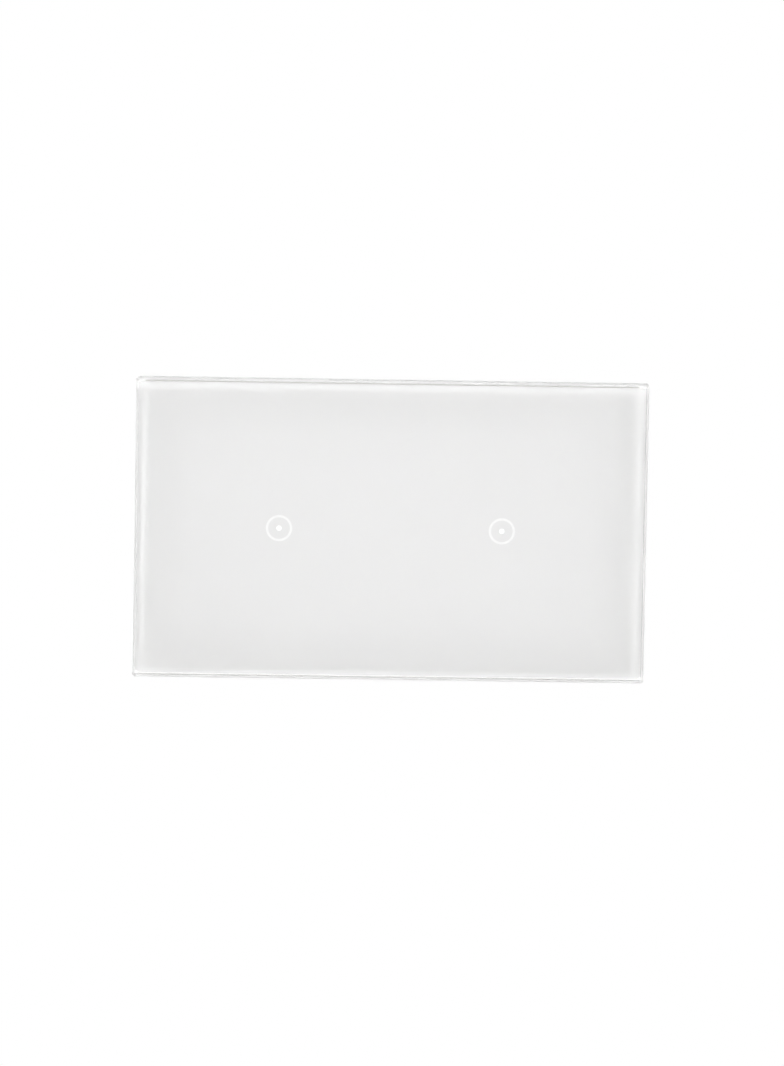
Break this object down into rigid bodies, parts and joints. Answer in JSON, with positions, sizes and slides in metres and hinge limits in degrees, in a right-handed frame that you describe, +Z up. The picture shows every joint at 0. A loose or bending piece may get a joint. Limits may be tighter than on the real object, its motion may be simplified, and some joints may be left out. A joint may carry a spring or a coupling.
{
  "type": "touch light switch",
  "caption": "Wall-mounted touch light switch: a white back-painted glass plate with lit touch marks on a clip-off carrier, over a shallow box with relays and screw terminals.",
  "frame": {"origin": "centre of the wall plane, where the mounting plate's rear face meets the wall, midway between the two box screws", "axes": "+X to the right seen from the front, +Z up, the glass faces -Y and the rear box reaches into the wall along +Y"},
  "size_m": [0.146, 0.0336, 0.086],
  "materials": {
    "clear_glass": "clear float glass, ground edges",
    "white_enamel": "white enamel behind glass",
    "translucent_print": "translucent white print",
    "foam_tape": "acrylic foam tape",
    "white_abs": "moulded white ABS",
    "galvanised_steel": "zinc plated sheet",
    "nylon": "natural nylon",
    "polycarbonate_box": "moulded polycarbonate",
    "zinc_screw": "zinc plated steel",
    "aluminium_rivet": "bare aluminium",
    "white_circuit_board": "white solder mask",
    "green_circuit_board": "green solder mask",
    "gilt_copper": "gold plated copper",
    "conductive_foam": "conductive foam",
    "clear_acrylic": "clear acrylic",
    "led_package": "lamp package",
    "black_epoxy": "moulded epoxy",
    "black_nylon": "moulded black nylon",
    "tinned_pin": "bright tin plate",
    "relay_case": "moulded blue plastic",
    "relay_base": "moulded black plastic",
    "enamelled_copper": "enamelled copper winding",
    "relay_iron": "annealed iron",
    "contact_brass": "stamped brass",
    "ferrite": "sintered ferrite",
    "polyester_tape": "yellow polyester tape",
    "film_capacitor_case": "yellow moulded case",
    "capacitor_sleeve": "shrunk sleeve",
    "varistor_coat": "blue epoxy coat",
    "fuse_case": "brown moulded case",
    "terminal_nylon": "moulded grey nylon"
  },
  "bodies": {
    "wall_unit": {"mounting_plate": "galvanised_steel", "peg_sockets": "nylon", "rear_box": "polycarbonate_box", "plate_rivets": "aluminium_rivet", "base_cover": "white_abs", "housing_screws": "zinc_screw", "touch_board": "white_circuit_board", "touch_board_screws": "zinc_screw", "touch_electrodes": "gilt_copper", "touch_foam_pads": "conductive_foam", "light_guides": "clear_acrylic", "indicator_leds": "led_package", "touch_chip": "black_epoxy", "touch_board_resistors": "black_epoxy", "header_strip": "black_nylon", "header_pins": "tinned_pin", "socket_strip": "black_nylon", "power_board": "green_circuit_board", "power_board_screws": "zinc_screw", "terminal_housing": "terminal_nylon", "terminal_busbars": "contact_brass", "transformer_core": "ferrite", "transformer_bobbin": "black_nylon", "transformer_winding": "polyester_tape", "film_capacitor": "film_capacitor_case", "input_capacitor": "capacitor_sleeve", "output_capacitor": "capacitor_sleeve", "varistor": "varistor_coat", "fuse": "fuse_case", "input_choke": "enamelled_copper", "bridge_rectifier": "black_epoxy", "supply_chip": "black_epoxy", "driver_transistors": "black_epoxy", "left_relay_case": "relay_case", "left_relay_base": "relay_base", "left_relay_yoke": "relay_iron", "left_relay_coil": "enamelled_copper", "left_relay_contacts": "contact_brass", "right_relay_case": "relay_case", "right_relay_base": "relay_base", "right_relay_yoke": "relay_iron", "right_relay_coil": "enamelled_copper", "right_relay_contacts": "contact_brass"},
    "front_panel": {"glass_panel": "clear_glass", "enamel_coat": "white_enamel", "ring_marks": "translucent_print", "dot_marks": "translucent_print", "adhesive_tape": "foam_tape", "carrier_frame": "white_abs"},
    "terminal_screw_1_body": {"terminal_screw_1": "zinc_screw"},
    "terminal_screw_2_body": {"terminal_screw_2": "zinc_screw"},
    "terminal_screw_3_body": {"terminal_screw_3": "zinc_screw"},
    "terminal_screw_4_body": {"terminal_screw_4": "zinc_screw"},
    "terminal_clamp_1_body": {"terminal_clamp_1": "contact_brass"},
    "terminal_clamp_2_body": {"terminal_clamp_2": "contact_brass"},
    "terminal_clamp_3_body": {"terminal_clamp_3": "contact_brass"},
    "terminal_clamp_4_body": {"terminal_clamp_4": "contact_brass"},
    "left_armature_body": {"left_relay_armature": "relay_iron"},
    "right_armature_body": {"right_relay_armature": "relay_iron"}
  },
  "joints": [
    {"name": "panel_pull", "type": "slide", "parent": "wall_unit", "child": "front_panel", "axis": [0, -1, 0], "range_m": [0, 0.015]},
    {"name": "terminal_screw_1_turn", "type": "hinge", "parent": "wall_unit", "child": "terminal_screw_1_body", "pos_m": [-0.012, 0.0194, -0.023], "axis": [0, -1, 0], "range_deg": [0, 2160]},
    {"name": "terminal_screw_2_turn", "type": "hinge", "parent": "wall_unit", "child": "terminal_screw_2_body", "pos_m": [-0.004, 0.0194, -0.023], "axis": [0, -1, 0], "range_deg": [0, 2160]},
    {"name": "terminal_screw_3_turn", "type": "hinge", "parent": "wall_unit", "child": "terminal_screw_3_body", "pos_m": [0.004, 0.0194, -0.023], "axis": [0, -1, 0], "range_deg": [0, 2160]},
    {"name": "terminal_screw_4_turn", "type": "hinge", "parent": "wall_unit", "child": "terminal_screw_4_body", "pos_m": [0.012, 0.0194, -0.023], "axis": [0, -1, 0], "range_deg": [0, 2160]},
    {"name": "terminal_clamp_1_lift", "type": "slide", "parent": "wall_unit", "child": "terminal_clamp_1_body", "axis": [0, 1, 0], "range_m": [0, 0.003]},
    {"name": "terminal_clamp_2_lift", "type": "slide", "parent": "wall_unit", "child": "terminal_clamp_2_body", "axis": [0, 1, 0], "range_m": [0, 0.003]},
    {"name": "terminal_clamp_3_lift", "type": "slide", "parent": "wall_unit", "child": "terminal_clamp_3_body", "axis": [0, 1, 0], "range_m": [0, 0.003]},
    {"name": "terminal_clamp_4_lift", "type": "slide", "parent": "wall_unit", "child": "terminal_clamp_4_body", "axis": [0, 1, 0], "range_m": [0, 0.003]},
    {"name": "left_armature_tilt", "type": "hinge", "parent": "wall_unit", "child": "left_armature_body", "pos_m": [-0.03873, 0.01675, 0.01375], "axis": [0, 0, -1], "range_deg": [0, 4], "stiffness_Nm_per_rad": 0.01},
    {"name": "right_armature_tilt", "type": "hinge", "parent": "wall_unit", "child": "right_armature_body", "pos_m": [0.03873, 0.01675, 0.01375], "axis": [0, 0, 1], "range_deg": [0, 4], "stiffness_Nm_per_rad": 0.01}
  ],
  "couplings": [
    {"joint": "terminal_screw_1_turn", "follows": "terminal_clamp_1_lift", "rad_per_m": 12566},
    {"joint": "terminal_screw_2_turn", "follows": "terminal_clamp_2_lift", "rad_per_m": 12566},
    {"joint": "terminal_screw_3_turn", "follows": "terminal_clamp_3_lift", "rad_per_m": 12566},
    {"joint": "terminal_screw_4_turn", "follows": "terminal_clamp_4_lift", "rad_per_m": 12566}
  ]
}
